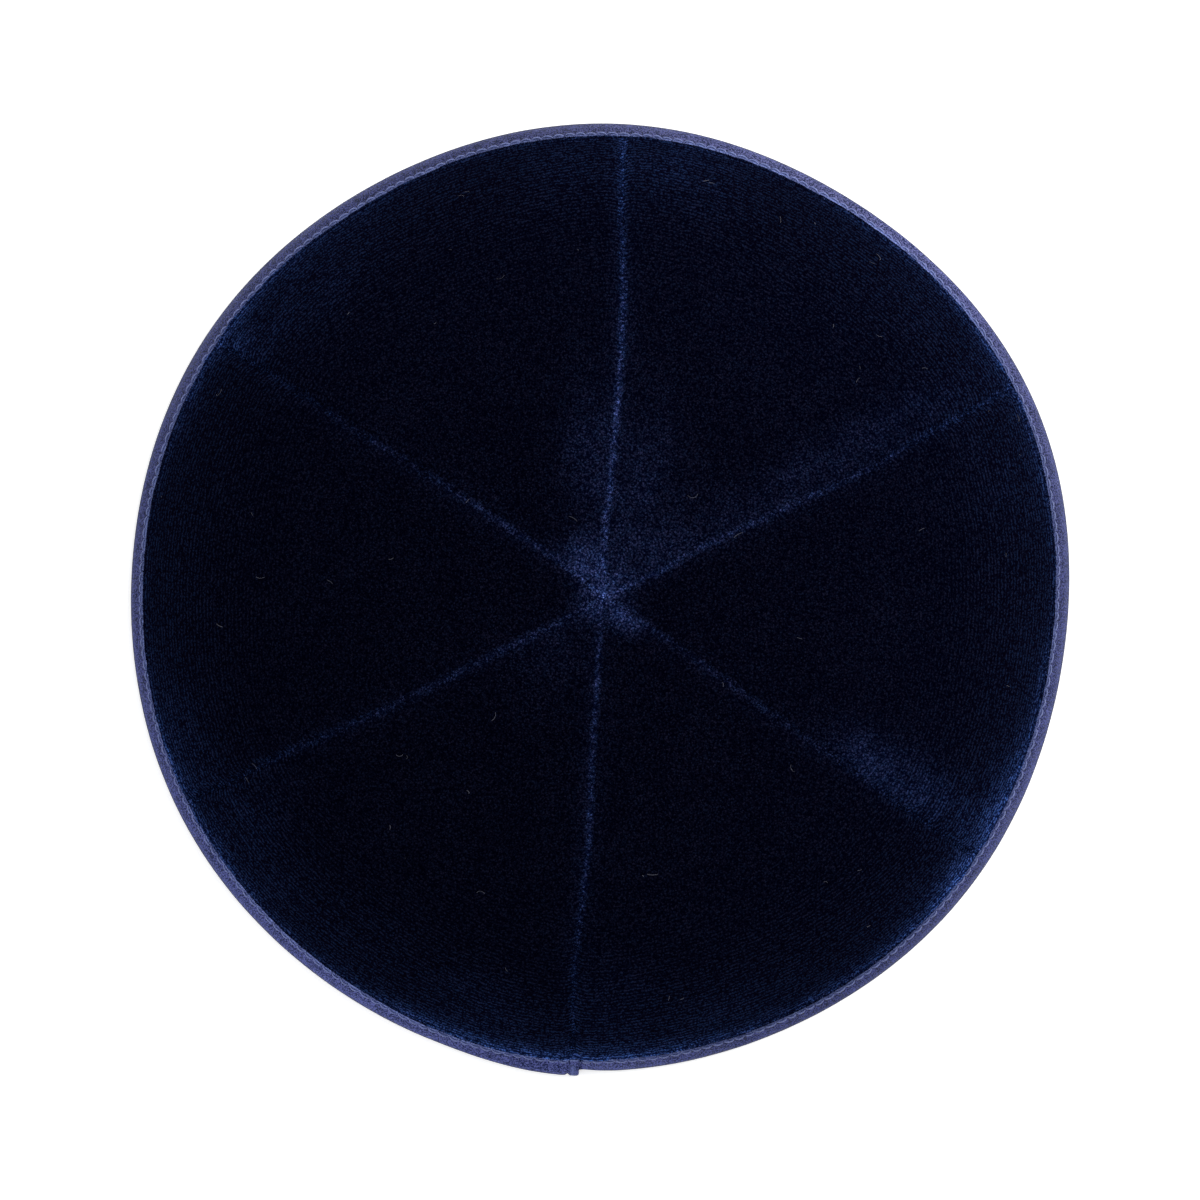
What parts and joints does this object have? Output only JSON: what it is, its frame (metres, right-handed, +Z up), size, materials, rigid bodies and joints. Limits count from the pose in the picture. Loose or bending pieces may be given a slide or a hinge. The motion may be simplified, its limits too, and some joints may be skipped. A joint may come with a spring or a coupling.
{
  "type": "kippah",
  "caption": "Close-fitting round dome cap of velvet gores seamed in a star, its lower edge bound with a folded leather strip; worn on the crown of the head.",
  "frame": {"origin": "middle of the plane that the rim rests on", "axes": "+Z up through the crown's top; +X is the picture's right and +Y is the picture's top"},
  "size_m": [0.1741, 0.1765, 0.065],
  "materials": {
    "velvet": "short-pile navy velvet, dark across the nap and bluer where it lies towards the light",
    "binding": "fine-grained matt slate-blue leather strip with a tonal lockstitch"
  },
  "bodies": {
    "root": {"crown_panel_1": "velvet", "crown_panel_2": "velvet", "crown_panel_3": "velvet", "crown_panel_4": "velvet", "crown_panel_5": "velvet", "crown_panel_6": "velvet", "rim_binding": "binding"}
  },
  "joints": []
}
